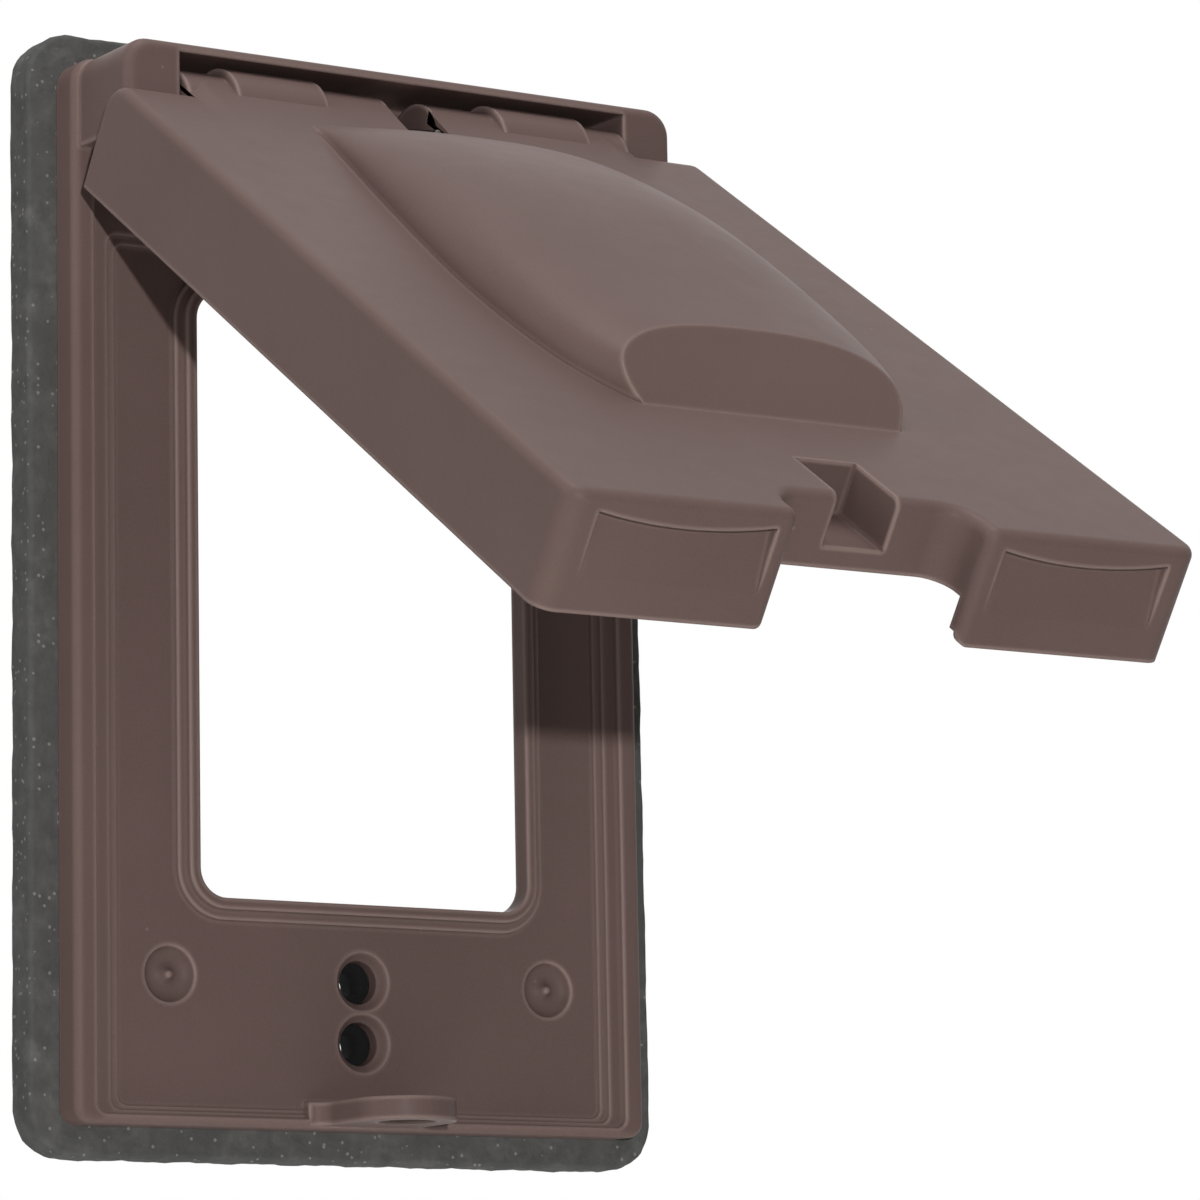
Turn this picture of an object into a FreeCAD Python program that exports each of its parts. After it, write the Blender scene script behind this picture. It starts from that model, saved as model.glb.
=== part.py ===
import FreeCAD, Part

import math
import os

import Sketcher
from FreeCAD import Placement, Rotation, Vector

# Weatherproof cover for one outlet: a die-cast base plate, a hinged die-cast lid shown open,
# the pin and spring it turns on, and the foam gasket behind the plate.
# X to the right, Y into the wall, Z up. The origin is on the plate's back, at its centre.

os.makedirs("parts", exist_ok=True)
doc = FreeCAD.newDocument("OutletCover")
sheet = doc.addObject("Spreadsheet::Sheet", "Sizes")


class Size:
    """A number with the spreadsheet formula that gives it."""

    def __init__(self, value, text):
        self.value = value
        self.text = text

    def __add__(self, other):
        return Size(self.value + number(other), f"({self.text} + {formula(other)})")

    def __sub__(self, other):
        return Size(self.value - number(other), f"({self.text} - {formula(other)})")

    def __mul__(self, other):
        return Size(self.value * number(other), f"({self.text} * {formula(other)})")

    def __truediv__(self, other):
        return Size(self.value / number(other), f"({self.text} / {formula(other)})")

    def __neg__(self):
        return Size(-self.value, f"(0 - {self.text})")


def number(amount):
    return amount.value if isinstance(amount, Size) else float(amount)


def formula(amount):
    return amount.text if isinstance(amount, Size) else str(amount)


driving = []


def cell(alias, value, note):
    """Write one driving dimension in the sheet and hand it back."""
    row = len(driving) + 1
    sheet.set(f"A{row}", note)
    sheet.set(f"B{row}", str(value))
    sheet.setAlias(f"B{row}", alias)
    driving.append(alias)
    return Size(value, f"Sizes.{alias}")


# Base plate
plateWidth = cell("plateWidth", 71.8, "width of the base plate")
plateHeight = cell("plateHeight", 115.9, "height of the base plate")
rimDepth = cell("rimDepth", 4.0, "front of the raised rim, from the plate's back")
ledgeDepth = cell("ledgeDepth", 3.45, "front of the ledge inside the rim")
stepDepth = cell("stepDepth", 3.1, "front of the narrow step inside the ledge")
floorDepth = cell("floorDepth", 2.8, "front of the recessed floor")
rimWidth = cell("rimWidth", 2.5, "width of each side rim")
ledgeWidth = cell("ledgeWidth", 1.9, "width of the ledge")
stepWidth = cell("stepWidth", 1.0, "width of the narrow step")
bottomRim = cell("bottomRim", 1.0, "width of the bottom rim")
rimTop = cell("rimTop", 47.4, "height where the side rims end")
shelfEdge = cell("shelfEdge", 37.6, "height where the floor ends below the hinge")
plateTopRadius = cell("plateTopRadius", 3.0, "corner radius at the top of the plate")
plateLowRadius = cell("plateLowRadius", 1.8, "corner radius at the bottom of the plate")
floorRadius = cell("floorRadius", 1.2, "corner radius of the ledge and the floor")
rimRound = cell("rimRound", 0.9, "rounding of the plate's front edge")

# Hinge block at the top of the plate
blockWidth = cell("blockWidth", 70.2, "width over the two ears")
blockDepth = cell("blockDepth", 14.6, "front of the ears, from the plate's back")
blockRound = cell("blockRound", 1.2, "rounding of the ears' front edges")
earBottom = cell("earBottom", 47.8, "height of the ears' lower faces")
earInner = cell("earInner", 28.6, "half the clear width between the ears")
topWall = cell("topWall", 1.15, "thickness of the wall over the hinge")

# Device opening
openingWidth = cell("openingWidth", 41.7, "width of the device opening")
openingHeight = cell("openingHeight", 66.7, "height of the device opening")
openingRadius = cell("openingRadius", 3.2, "corner radius of the device opening")
lipWidth = cell("lipWidth", 1.2, "width of the lip's raised ridge")
lipDepth = cell("lipDepth", 4.1, "front of the lip's ridge")
shoulderWidth = cell("shoulderWidth", 1.1, "width of the lip's lower step")
shoulderDepth = cell("shoulderDepth", 3.35, "front of the lip's lower step")
reliefDepth = cell("reliefDepth", 1.5, "depth of the relief behind the opening")
reliefMargin = cell("reliefMargin", 4.6, "width of that relief beside the opening")

# Screw holes and blind dimples
deviceSpacing = cell("deviceSpacing", 83.34, "spacing of the device screws")
coverSpacing = cell("coverSpacing", 96.84, "spacing of the cover screws")
screwHole = cell("screwHole", 4.8, "diameter of a screw hole")
screwSink = cell("screwSink", 6.6, "diameter of a countersink")
dimpleOffset = cell("dimpleOffset", 24.0, "distance of a dimple from the centreline")
dimpleHeight = cell("dimpleHeight", -41.7, "height of the dimples")
dimpleRing = cell("dimpleRing", 1.7, "radius of the dimple's ring")
dimpleSection = cell("dimpleSection", 1.4, "radius of the ring's round section")
dimpleLift = cell("dimpleLift", 0.2, "centre of that section above the floor")

# Padlock tab
tabHalf = cell("tabHalf", 5.7, "half width of the tab")
tabRound = cell("tabRound", 5.65, "radius of the tab's end")
tabRoot = cell("tabRoot", 7.6, "half width of the tab's root")
tabFillet = cell("tabFillet", 1.8, "fillet beside the root")
tabReach = cell("tabReach", 16.8, "front of the tab, from the plate's back")
tabThick = cell("tabThick", 2.5, "thickness of the tab")
tabRaise = cell("tabRaise", 0.35, "tab's lower face above the plate's bottom edge")
tabHole = cell("tabHole", 6.4, "diameter of the padlock hole")
tabHoleReach = cell("tabHoleReach", 11.8, "centre of that hole, from the plate's back")

# Lid, drawn closed
lidWidth = cell("lidWidth", 74.4, "width of the lid")
lidFront = cell("lidFront", 15.5, "outer face of the lid, from the plate's back")
lidEdge = cell("lidEdge", 3.1, "edge of the closed lid, from the plate's back")
lidTop = cell("lidTop", 45.8, "height where the lid's face ends below the ears")
cheekTop = cell("cheekTop", 48.2, "height where the lid's side walls end, beside the ears")
cheekRound = cell("cheekRound", 3.6, "rounding at the top of the side walls")
lidBottom = cell("lidBottom", -59.2, "height of the lid's free end")
lidSkin = cell("lidSkin", 2.1, "thickness of the lid's face")
lidWall = cell("lidWall", 1.8, "thickness of the lid's walls")
rabbetGap = cell("rabbetGap", 0.25, "gap between the lid's skirt and the plate's edge")
rabbetDepth = cell("rabbetDepth", 1.2, "depth of the skirt's step")
lidFreeRadius = cell("lidFreeRadius", 2.2, "plan radius at the lid's free end")
lidRound = cell("lidRound", 1.1, "rounding round the lid's outer face")
recessWidth = cell("recessWidth", 22.6, "width of the recess between the feet")
recessInset = cell("recessInset", 5.7, "depth of that recess from the free end")
recessRadius = cell("recessRadius", 1.2, "radius of the feet's corners beside that recess")
recessFillet = cell("recessFillet", 3.0, "radius of the recess's inner corners")
footRound = cell("footRound", 1.4, "rounding of the feet's lower corners beside the recess")
recessLift = cell("recessLift", 4.6, "recess walls end this much above the feet")
shackleWidth = cell("shackleWidth", 7.2, "width of the padlock pocket")
shackleLength = cell("shackleLength", 8.7, "length of the padlock pocket")
shackleDepth = cell("shackleDepth", 5.5, "depth of the padlock pocket")
shackleWall = cell("shackleWall", 1.5, "wall round the padlock pocket")
scoopInner = cell("scoopInner", 13.5, "inner side of a finger scoop")
scoopOuter = cell("scoopOuter", 33.6, "outer side of a finger scoop")
scoopLip = cell("scoopLip", 2.1, "height of the lip over a scoop's ends")
scoopBow = cell("scoopBow", 0.95, "how much lower the lip hangs in its middle")
scoopTilt = cell("scoopTilt", 9.3, "tilt of a scoop's floor, in degrees")
scoopBand = cell("scoopBand", 3.6, "plain band below a scoop")

# Raised hump on the lid's face
humpTop = cell("humpTop", 41.5, "height where the hump rises from the face")
humpBottom = cell("humpBottom", -34.4, "height of the hump's lower end")
humpSlope = cell("humpSlope", 36.0, "slope of the hump's flat lower end, in degrees")
humpWidth = cell("humpWidth", 41.8, "greatest width of the hump")
humpRise = cell("humpRise", 7.4, "greatest height of the hump")

# Hinge
hingeY = cell("hingeY", 10.9, "hinge axis, from the plate's back")
hingeZ = cell("hingeZ", 49.9, "height of the hinge axis")
barrelRadius = cell("barrelRadius", 5.6, "radius of the lid's barrel")
landRise = cell("landRise", 0.8, "height of the raised bands on the barrel")
landStart = cell("landStart", 11.3, "inner end of a raised band")
landLength = cell("landLength", 11.3, "length of a raised band")
barrelGap = cell("barrelGap", 0.3, "end play of the barrel between the ears")
notchWidth = cell("notchWidth", 5.6, "width of the notch for the spring")
notchFoot = cell("notchFoot", 42.1, "height where the notch's ramp meets the face")
notchTilt = cell("notchTilt", 20.4, "tilt of that ramp and of the spring's leg, in degrees")
notchSink = cell("notchSink", 1.44, "depth of the ramp at its upper end")
pinRadius = cell("pinRadius", 1.6, "radius of the hinge pin")
pinPlay = cell("pinPlay", 0.05, "radial play of the lid on the pin")
pinSeat = cell("pinSeat", 3.6, "depth of the pin's blind seat in the left ear")
pinInset = cell("pinInset", 0.2, "gap at the pin's left end, and its inset at the right ear")
pinChamfer = cell("pinChamfer", 0.3, "chamfer of the pin's ends")
openAngle = cell("openAngle", 56.3, "angle from closed at which the lid stands, in degrees")

# Spring and gasket
wireRadius = cell("wireRadius", 0.4, "radius of the spring's wire")
coilRadius = cell("coilRadius", 2.3, "mean radius of the spring's coil")
coilLength = cell("coilLength", 4.2, "length of the coil between wire centres")
coilTurns = cell("coilTurns", 4, "whole turns of the coil")
legLength = cell("legLength", 6.4, "length of the leg on the lid")
gasketThick = cell("gasketThick", 4.6, "thickness of the foam gasket")
gasketMargin = cell("gasketMargin", 3.5, "gasket beyond the plate, all round")
gasketRadius = cell("gasketRadius", 5.5, "corner radius of the gasket")
gasketCutWidth = cell("gasketCutWidth", 51.0, "width of the gasket's cut-out")
gasketCutHeight = cell("gasketCutHeight", 76.0, "height of the gasket's cut-out")
gasketHole = cell("gasketHole", 3.0, "diameter of the gasket's screw holes")

halfPlate = plateWidth / 2
halfHeight = plateHeight / 2
halfLid = lidWidth / 2
halfRecess = recessWidth / 2
lidInner = lidFront - lidSkin
barrelHalf = earInner - barrelGap
doc.recompute()


# Sketching helpers

def newBody(label):
    body = doc.addObject("PartDesign::Body", label)
    body.Label = label
    return body


def originFeature(body, role):
    return [item for item in body.Origin.OriginFeatures if item.Role == role][0]


def newSketch(body, name, plane, offset=None, turn=None):
    """A sketch on one of the body's planes, moved along its normal or turned about X."""
    sketch = body.newObject("Sketcher::SketchObject", name)
    sketch.AttachmentSupport = [(originFeature(body, plane), "")]
    sketch.MapMode = "FlatFace"
    if offset is not None:
        sketch.AttachmentOffset = Placement(Vector(0, 0, offset.value), Rotation())
        sketch.setExpression("AttachmentOffset.Base.z", offset.text)
    if turn is not None:
        sketch.AttachmentOffset = Placement(Vector(), Rotation(Vector(1, 0, 0), turn.value))
        sketch.setExpression("AttachmentOffset.Rotation.Angle", f"{turn.text} * 1 deg")
    return sketch


def tiltedSketch(body, name, y, z, tilt):
    """A sketch on the body's XY plane, moved to y and z and tilted back about X."""
    sketch = newSketch(body, name, "XY_Plane", z)
    sketch.AttachmentOffset = Placement(Vector(0, y.value, z.value), Rotation(Vector(-1, 0, 0), tilt.value))
    sketch.setExpression("AttachmentOffset.Base.y", y.text)
    sketch.setExpression("AttachmentOffset.Rotation.Angle", f"{tilt.text} * 1 deg")
    return sketch


def hold(sketch, geometry, point, x, y):
    """Hold a point of the sketch at x, y with two dimensions."""
    for kind, amount in (("DistanceX", x), ("DistanceY", y)):
        index = sketch.addConstraint(
            Sketcher.Constraint(kind, -1, 1, geometry, point, number(amount)))
        if isinstance(amount, Size):
            sketch.setExpression(f"Constraints[{index}]", amount.text)


def setRadius(sketch, geometry, amount):
    index = sketch.addConstraint(Sketcher.Constraint("Radius", geometry, amount.value))
    sketch.setExpression(f"Constraints[{index}]", amount.text)


def cornerArc(before, here, after, size):
    """End of the line in, start of the line out and centre, for a rounded corner."""
    inward = (before - here).normalize()
    outward = (after - here).normalize()
    half = inward.getAngle(outward) / 2
    reach = size / math.tan(half)
    centre = here + (inward + outward).normalize() * (size / math.sin(half))
    return here + inward * reach, here + outward * reach, centre


def outline(sketch, corners):
    """A closed outline, counter-clockwise. Each corner is (x, y) or (x, y, radius)."""
    count = len(corners)
    places = [Vector(number(corner[0]), number(corner[1]), 0) for corner in corners]
    cuts = []
    for i, corner in enumerate(corners):
        if len(corner) == 3:
            cuts.append(cornerArc(places[i - 1], places[i], places[(i + 1) % count], corner[2].value))
        else:
            cuts.append((places[i], places[i], None))
    lines = [sketch.addGeometry(Part.LineSegment(cuts[i][1], cuts[(i + 1) % count][0]))
             for i in range(count)]
    for i, corner in enumerate(corners):
        lineIn, lineOut = lines[i - 1], lines[i]
        start, end, centre = cuts[i]
        if centre is None:
            sketch.addConstraint(Sketcher.Constraint("Coincident", lineIn, 2, lineOut, 1))
            hold(sketch, lineOut, 1, corner[0], corner[1])
            continue
        first, last = start - centre, end - centre
        convex = first.cross(last).z > 0
        if not convex:
            first, last = last, first
        low = math.atan2(first.y, first.x)
        high = math.atan2(last.y, last.x)
        if high < low:
            high += 2 * math.pi
        ring = Part.Circle(centre, Vector(0, 0, 1), corner[2].value)
        arc = sketch.addGeometry(Part.ArcOfCircle(ring, low, high))
        near, far = (1, 2) if convex else (2, 1)
        sketch.addConstraint(Sketcher.Constraint("Tangent", lineIn, 2, arc, near))
        sketch.addConstraint(Sketcher.Constraint("Tangent", arc, far, lineOut, 1))
        setRadius(sketch, arc, corner[2])
        apex = sketch.addGeometry(Part.Point(places[i]), True)
        sketch.addConstraint(Sketcher.Constraint("PointOnObject", apex, 1, lineIn))
        sketch.addConstraint(Sketcher.Constraint("PointOnObject", apex, 1, lineOut))
        hold(sketch, apex, 1, corner[0], corner[1])


def box(sketch, left, right, low, high, lowRadius=None, highRadius=None):
    """A rectangle whose lower and upper corners may be rounded."""
    below = () if lowRadius is None else (lowRadius,)
    above = () if highRadius is None else (highRadius,)
    outline(sketch, [(left, low) + below, (right, low) + below,
                     (right, high) + above, (left, high) + above])


def circle(sketch, x, y, size):
    centre = Vector(number(x), number(y), 0)
    ring = sketch.addGeometry(Part.Circle(centre, Vector(0, 0, 1), size.value))
    hold(sketch, ring, 3, x, y)
    setRadius(sketch, ring, size)


def bowedBox(sketch, left, right, low, high, bow):
    """A rectangle whose lower side bows inwards by that much."""
    middle = (left + right) / 2
    corners = [(right, low), (right, high), (left, high), (left, low)]
    places = [Vector(number(x), number(y), 0) for x, y in corners]
    lines = [sketch.addGeometry(Part.LineSegment(places[i], places[i + 1])) for i in range(3)]
    crown = Vector(middle.value, number(low + bow), 0)
    arc = sketch.addGeometry(Part.Arc(places[0], crown, places[3]))
    for first, last in ((lines[0], lines[1]), (lines[1], lines[2])):
        sketch.addConstraint(Sketcher.Constraint("Coincident", first, 2, last, 1))
    sketch.addConstraint(Sketcher.Constraint("Coincident", arc, 1, lines[0], 1))
    sketch.addConstraint(Sketcher.Constraint("Coincident", arc, 2, lines[2], 2))
    for line, (x, y) in zip(lines, corners):
        hold(sketch, line, 1, x, y)
    hold(sketch, lines[2], 2, left, low)
    apex = sketch.addGeometry(Part.Point(crown), True)
    sketch.addConstraint(Sketcher.Constraint("PointOnObject", apex, 1, arc))
    hold(sketch, apex, 1, middle, low + bow)


def pad(body, sketch, length, backward=False):
    feature = body.newObject("PartDesign::Pad", sketch.Name + "_pad")
    feature.Profile = sketch
    feature.Length = length.value
    feature.setExpression("Length", length.text)
    feature.Reversed = backward
    return feature


def pocket(body, sketch, length, forward=False):
    """Cut against the sketch's normal, or along it when forward."""
    feature = body.newObject("PartDesign::Pocket", sketch.Name + "_pocket")
    feature.Profile = sketch
    feature.Length = length.value
    feature.setExpression("Length", length.text)
    feature.Reversed = forward
    doc.recompute()
    before = feature.BaseFeature.Shape
    if feature.Shape.isNull() or feature.Shape.Volume > before.Volume - 0.01:
        raise RuntimeError(f"{feature.Name} cuts nothing: {feature.State}")
    return feature


def mirror(body, feature):
    copy = body.newObject("PartDesign::Mirrored", feature.Name + "_mirrored")
    copy.Originals = [feature]
    copy.MirrorPlane = (originFeature(body, "YZ_Plane"), [""])
    body.Tip = copy
    return copy


def fillet(body, test, size):
    """Round the edges of the body's tip that pass the test."""
    doc.recompute()
    tip = body.Tip
    names = [f"Edge{i + 1}" for i, edge in enumerate(tip.Shape.Edges) if test(edge.BoundBox)]
    feature = body.newObject("PartDesign::Fillet", tip.Name + "_round")
    feature.Base = (tip, names)
    feature.Radius = size.value
    feature.setExpression("Radius", size.text)
    return feature


def atDepth(extent, depth):
    """True for an edge that lies wholly at one distance in front of the plate's back."""
    return abs(extent.YMin + depth.value) < 0.01 and abs(extent.YMax + depth.value) < 0.01


# Base plate, with its back on the body's plane Y = 0

def buildBase():
    body = newBody("base_plate")
    flange = newSketch(body, "flange", "XZ_Plane")
    box(flange, -halfPlate, halfPlate, -halfHeight, halfHeight, plateLowRadius, plateTopRadius)
    pad(body, flange, rimDepth)
    fillet(body, lambda extent: atDepth(extent, rimDepth), rimRound)

    # Rim, ledge, narrow step and floor, one inside the other
    inner = halfPlate - rimWidth
    low = -halfHeight + bottomRim
    for name, depth, high, width in (("ledge", ledgeDepth, rimTop, ledgeWidth),
                                     ("step", stepDepth, shelfEdge + stepWidth, stepWidth),
                                     ("floor", floorDepth, shelfEdge, stepWidth)):
        sketch = newSketch(body, name, "XZ_Plane", rimDepth)
        box(sketch, -inner, inner, low, high, floorRadius, floorRadius)
        pocket(body, sketch, rimDepth - depth)
        inner = inner - width
        low = low + stepWidth / 2

    # Hinge block with a pocket between its ears
    block = newSketch(body, "block", "XZ_Plane", floorDepth)
    box(block, -blockWidth / 2, blockWidth / 2, earBottom, halfHeight, None, plateTopRadius)
    pad(body, block, blockDepth - floorDepth)
    fillet(body, lambda extent: atDepth(extent, blockDepth), blockRound)
    hollow = newSketch(body, "hollow", "XZ_Plane", blockDepth)
    box(hollow, -earInner, earInner, earBottom - topWall, halfHeight - topWall)
    pocket(body, hollow, blockDepth - ledgeDepth)
    bore = newSketch(body, "bore", "YZ_Plane", -earInner - pinSeat)
    circle(bore, -hingeY, hingeZ, pinRadius)
    pocket(body, bore, earInner + pinSeat * 2 + blockWidth / 2, forward=True)

    # Two-step lip round the device opening, the opening, and the relief behind it
    halfWide = openingWidth / 2
    halfTall = openingHeight / 2
    for name, grow, depth in (("shoulder", lipWidth + shoulderWidth, shoulderDepth),
                              ("lip", lipWidth, lipDepth)):
        sketch = newSketch(body, name, "XZ_Plane", reliefDepth)
        corner = openingRadius + grow
        box(sketch, -halfWide - grow, halfWide + grow, -halfTall - grow, halfTall + grow, corner, corner)
        pad(body, sketch, depth - reliefDepth)
    opening = newSketch(body, "opening", "XZ_Plane")
    box(opening, -halfWide, halfWide, -halfTall, halfTall, openingRadius, openingRadius)
    pocket(body, opening, lipDepth + reliefDepth, forward=True)
    relief = newSketch(body, "relief", "XZ_Plane")
    wide = halfWide + reliefMargin
    tall = halfTall + reliefMargin
    box(relief, -wide, wide, -tall, tall, openingRadius, openingRadius)
    pocket(body, relief, reliefDepth, forward=True)

    # Countersunk screw holes, a device pair and a cover pair
    for name, depth, side in (("lower", floorDepth, -1), ("upper", ledgeDepth, 1)):
        points = newSketch(body, name + "_screws", "XZ_Plane", depth)
        circle(points, 0, deviceSpacing / 2 * side, screwHole / 2)
        circle(points, 0, coverSpacing / 2 * side, screwHole / 2)
        doc.recompute()
        hole = body.newObject("PartDesign::Hole", name + "_holes")
        hole.Profile = points
        hole.DepthType = "ThroughAll"
        hole.ThreadType = "None"
        hole.Diameter = screwHole.value
        hole.setExpression("Diameter", screwHole.text)
        hole.HoleCutType = "Countersink"
        hole.HoleCutCustomValues = True
        hole.HoleCutDiameter = screwSink.value
        hole.setExpression("HoleCutDiameter", screwSink.text)
        hole.HoleCutCountersinkAngle = 82
        doc.recompute()

    # Blind dimple with a raised centre on each side of the lower screws
    dimple = newSketch(body, "dimple", "YZ_Plane", dimpleOffset)
    circle(dimple, -floorDepth - dimpleLift, dimpleHeight + dimpleRing, dimpleSection)
    axle = dimple.addGeometry(Part.LineSegment(
        Vector(-floorDepth.value, dimpleHeight.value, 0),
        Vector(-rimDepth.value, dimpleHeight.value, 0)), True)
    hold(dimple, axle, 1, -floorDepth, dimpleHeight)
    hold(dimple, axle, 2, -rimDepth, dimpleHeight)
    groove = body.newObject("PartDesign::Groove", "dimple_groove")
    groove.Profile = dimple
    groove.ReferenceAxis = (dimple, ["Axis0"])
    groove.Angle = 360
    doc.recompute()
    mirror(body, groove)

    # Padlock tab, standing out from the bottom edge
    tab = newSketch(body, "tab", "XY_Plane", -halfHeight + tabRaise)
    outline(tab, [(-tabHalf, -tabReach, tabRound), (tabHalf, -tabReach, tabRound),
                  (tabHalf, -rimDepth, tabFillet), (tabRoot, -rimDepth), (tabRoot, -reliefDepth),
                  (-tabRoot, -reliefDepth), (-tabRoot, -rimDepth), (-tabHalf, -rimDepth, tabFillet)])
    pad(body, tab, tabThick)
    eye = newSketch(body, "eye", "XY_Plane", -halfHeight + tabRaise)
    circle(eye, 0, -tabHoleReach, tabHole / 2)
    pocket(body, eye, tabThick, forward=True)
    return body


# Lid, drawn closed over the plate and turned open by its placement

def buildLidShell():
    body = newBody("lid_shell")
    shell = newSketch(body, "shell", "XZ_Plane", lidEdge)
    wall = lidBottom + recessInset
    outline(shell, [(-halfLid, lidBottom, lidFreeRadius), (-halfRecess, lidBottom, recessRadius),
                    (-halfRecess, wall, recessFillet), (halfRecess, wall, recessFillet),
                    (halfRecess, lidBottom, recessRadius), (halfLid, lidBottom, lidFreeRadius),
                    (halfLid, cheekTop), (-halfLid, cheekTop)])
    pad(body, shell, lidFront - lidEdge)
    middle = hingeZ.value - barrelRadius.value
    fillet(body, lambda extent: atDepth(extent, lidFront) and extent.ZMin > middle, cheekRound)
    fillet(body, lambda extent: atDepth(extent, lidFront) and extent.ZMin < middle, lidRound)

    inner = halfLid - lidWall
    step = halfRecess + lidWall
    low = lidBottom + lidWall
    deep = wall + lidWall
    beyond = cheekTop + lidWall
    cavity = newSketch(body, "cavity", "XZ_Plane", lidEdge)
    outline(cavity, [(-inner, low), (-step, low), (-step, deep), (step, deep), (step, low), (inner, low),
                     (inner, beyond), (-inner, beyond)])
    pocket(body, cavity, lidInner - lidEdge, forward=True)
    gap = newSketch(body, "gap", "XZ_Plane", lidEdge)
    box(gap, -inner, inner, lidTop, beyond)
    pocket(body, gap, lidFront - lidEdge, forward=True)
    lift = newSketch(body, "lift", "XZ_Plane", lidEdge)
    box(lift, -step, step, low, deep)
    pocket(body, lift, recessLift, forward=True)
    rabbet = newSketch(body, "rabbet", "XZ_Plane", lidEdge)
    skirt = halfPlate + rabbetGap
    box(rabbet, -skirt, skirt, -halfHeight - rabbetGap, beyond)
    pocket(body, rabbet, rabbetDepth, forward=True)

    # Pocket for the padlock's shackle, with a boss behind it
    halfShackle = shackleWidth / 2
    side = halfShackle + shackleWall
    boss = newSketch(body, "boss", "XZ_Plane", lidInner)
    box(boss, -side, side, wall + lidWall / 2, wall + shackleLength + shackleWall)
    pad(body, boss, shackleDepth + shackleWall - lidSkin, backward=True)
    shackle = newSketch(body, "shackle", "XZ_Plane", lidFront)
    box(shackle, -halfShackle, halfShackle, wall - lidWall, wall + shackleLength)
    pocket(body, shackle, shackleDepth)

    # Rounded lower corner of each foot beside the recess
    reach = footRound * 2
    off = -lidEdge + footRound
    corner = newSketch(body, "corner", "XY_Plane", lidBottom)
    outline(corner, [(halfRecess - footRound, -lidEdge - reach), (halfRecess, -lidEdge - reach),
                     (halfRecess, -lidEdge, footRound), (halfRecess + reach, -lidEdge),
                     (halfRecess + reach, off), (halfRecess - footRound, off)])
    mirror(body, pocket(body, corner, lidWall, forward=True))

    # Finger scoop in each foot's end face, deepest under a lip that bows down
    tall = (lidFront - scoopLip - lidEdge - scoopBand) / Size(
        math.cos(math.radians(scoopTilt.value)), "cos(Sizes.scoopTilt * 1 deg)")
    scoop = tiltedSketch(body, "scoop", -lidEdge - scoopBand, lidBottom, scoopTilt)
    bowedBox(scoop, scoopInner, scoopOuter, -tall, scoopBand / 4, scoopBow)
    mirror(body, pocket(body, scoop, lidWall))

    # Barrel, the web that joins it to the face, and two raised bands
    barrel = newSketch(body, "barrel", "YZ_Plane", -barrelHalf)
    circle(barrel, -hingeY, hingeZ, barrelRadius)
    pad(body, barrel, barrelHalf * 2)
    web = newSketch(body, "web", "YZ_Plane", -barrelHalf)
    outline(web, [(-lidFront, lidTop - lidSkin), (-lidInner, lidTop - lidSkin),
                  (-lidInner, hingeZ), (-lidFront, hingeZ)])
    pad(body, web, barrelHalf * 2)
    land = newSketch(body, "land", "YZ_Plane", landStart)
    circle(land, -hingeY, hingeZ, barrelRadius + landRise)
    mirror(body, pad(body, land, landLength))

    # Notch for the spring, its ramp down from the face, and the pin's bore
    run = notchSink / Size(math.tan(math.radians(notchTilt.value)), "tan(Sizes.notchTilt * 1 deg)")
    back = -hingeY + barrelRadius * 2
    over = lidFront + barrelRadius
    under = hingeZ - barrelRadius - barrelGap
    notch = newSketch(body, "notch", "YZ_Plane", -notchWidth / 2)
    outline(notch, [(-lidFront - notchSink, notchFoot - run), (-lidFront + notchSink, notchFoot + run),
                    (-lidInner, notchFoot + run), (-lidInner, under), (back, under), (back, halfHeight),
                    (-over, halfHeight), (-over, notchFoot - run)])
    pocket(body, notch, notchWidth, forward=True)
    bore = newSketch(body, "pin_bore", "YZ_Plane", -earInner)
    circle(bore, -hingeY, hingeZ, pinRadius + pinPlay)
    pocket(body, bore, earInner * 2, forward=True)
    return body


def buildHump(name, depth, inset):
    """Domed hump standing on the plane at that depth, with a flat end face that slopes down to it."""
    top = humpTop.value - inset
    bottom = humpBottom.value + inset
    half = humpWidth.value / 2 - inset
    rise = humpRise.value
    # share of the length, share of the width, share of the rise
    stations = [(0.0, 0.775, 0.01), (0.07, 0.79, 0.33), (0.15, 0.825, 0.6), (0.28, 0.885, 0.85),
                (0.44, 0.95, 1.0), (0.62, 1.0, 0.95), (0.78, 0.985, 0.86), (0.9, 0.91, 0.82),
                (1.0, 0.74, 0.8), (1.07, 0.56, 0.79)]
    sections = []
    for along, wide, high in stations:
        height = top + (bottom - top) * along
        crown = []
        for k in range(17):
            turn = math.pi * k / 16
            across = math.copysign(abs(math.cos(turn)) ** 0.75, math.cos(turn))
            up = math.sin(turn) ** 0.75 if 0 < k < 16 else 0.0
            crown.append(Vector(half * wide * across, -depth.value - rise * high * up, height))
        curve = Part.BSplineCurve()
        curve.interpolate(crown)
        sunk = Vector(0, lidSkin.value / 4, 0)
        base = Part.makePolygon([crown[-1], crown[-1] + sunk, crown[0] + sunk, crown[0]])
        sections.append(Part.Wire([curve.toShape()] + base.Edges))
    slope = math.radians(humpSlope.value)
    foot = Vector(-half * 2, -depth.value, bottom)
    upSlope = Vector(0, -math.sin(slope), math.cos(slope))
    low = foot - upSlope * lidSkin.value
    high = foot + upSlope * rise * 3
    away = Vector(0, 0, -rise * 3)
    beyond = Part.Face(Part.makePolygon([low, high, high + away * 2, low + away, low]))
    feature = doc.addObject("Part::Feature", name)
    feature.Shape = Part.makeLoft(sections, True, False).cut(beyond.extrude(Vector(half * 4, 0, 0)))
    return feature


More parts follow.
